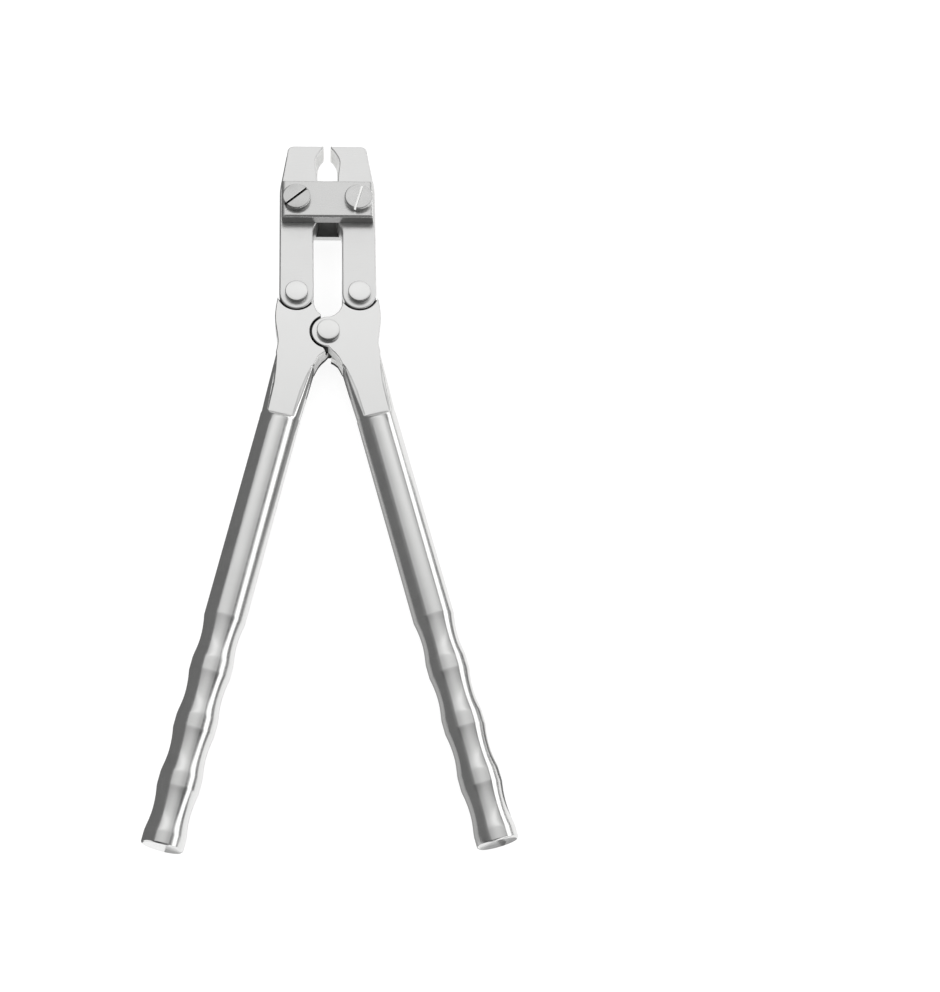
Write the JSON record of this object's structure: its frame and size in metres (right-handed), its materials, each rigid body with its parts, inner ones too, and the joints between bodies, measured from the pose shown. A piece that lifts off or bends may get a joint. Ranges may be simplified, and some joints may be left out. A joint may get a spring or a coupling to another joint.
{
  "type": "pin cutter",
  "caption": "Double-action surgical pin cutter with straight jaws held between side plates and long round waved handles crossing in a lap joint.",
  "frame": {"origin": "under the middle of the tool's bounding box, on the plane that the rear plate lies on", "axes": "+Y along the tool towards the cutting tips, +X to the right seen from the front, +Z out of the front face"},
  "size_m": [0.1208, 0.2592, 0.0212],
  "materials": {
    "plate_steel": "satin stainless steel, finely brushed",
    "screw_steel": "polished stainless steel with turned marks",
    "jaw_steel": "satin stainless steel, ground flat",
    "pin_steel": "satin stainless steel",
    "handle_steel": "satin stainless steel, brushed round the bar"
  },
  "bodies": {
    "side_plates": {"front_plate": "plate_steel", "rear_plate": "plate_steel", "screw_left": "screw_steel", "screw_right": "screw_steel"},
    "left_jaw": {"jaw_left": "jaw_steel", "jaw_pin_left": "pin_steel"},
    "right_jaw": {"jaw_right": "jaw_steel", "jaw_pin_right": "pin_steel"},
    "left_handle": {"handle_left": "handle_steel"},
    "right_handle": {"handle_right": "handle_steel", "pivot_pin": "pin_steel"}
  },
  "joints": [
    {"name": "left_jaw_hinge", "type": "hinge", "parent": "side_plates", "child": "left_jaw", "pos_m": [-0.0112, 0.10457, 0.0095], "axis": [0, 0, 1], "range_deg": [-2.72, 1.22]},
    {"name": "right_jaw_hinge", "type": "hinge", "parent": "side_plates", "child": "right_jaw", "pos_m": [0.0112, 0.10457, 0.0095], "axis": [0, 0, 1], "range_deg": [-1.22, 2.72]},
    {"name": "left_handle_hinge", "type": "hinge", "parent": "left_jaw", "child": "left_handle", "pos_m": [-0.0112, 0.06867, 0.0095], "axis": [0, 0, 1], "range_deg": [-4.1, 9.23]},
    {"name": "right_handle_hinge", "type": "hinge", "parent": "right_jaw", "child": "right_handle", "pos_m": [0.0112, 0.06867, 0.0095], "axis": [0, 0, 1], "range_deg": [-9.26, 4.13]}
  ],
  "couplings": [
    {"joint": "left_jaw_hinge", "follows": "left_handle_hinge", "ratio": -0.2924},
    {"joint": "right_jaw_hinge", "follows": "left_handle_hinge", "ratio": 0.2924},
    {"joint": "right_handle_hinge", "follows": "left_handle_hinge", "ratio": -1}
  ]
}
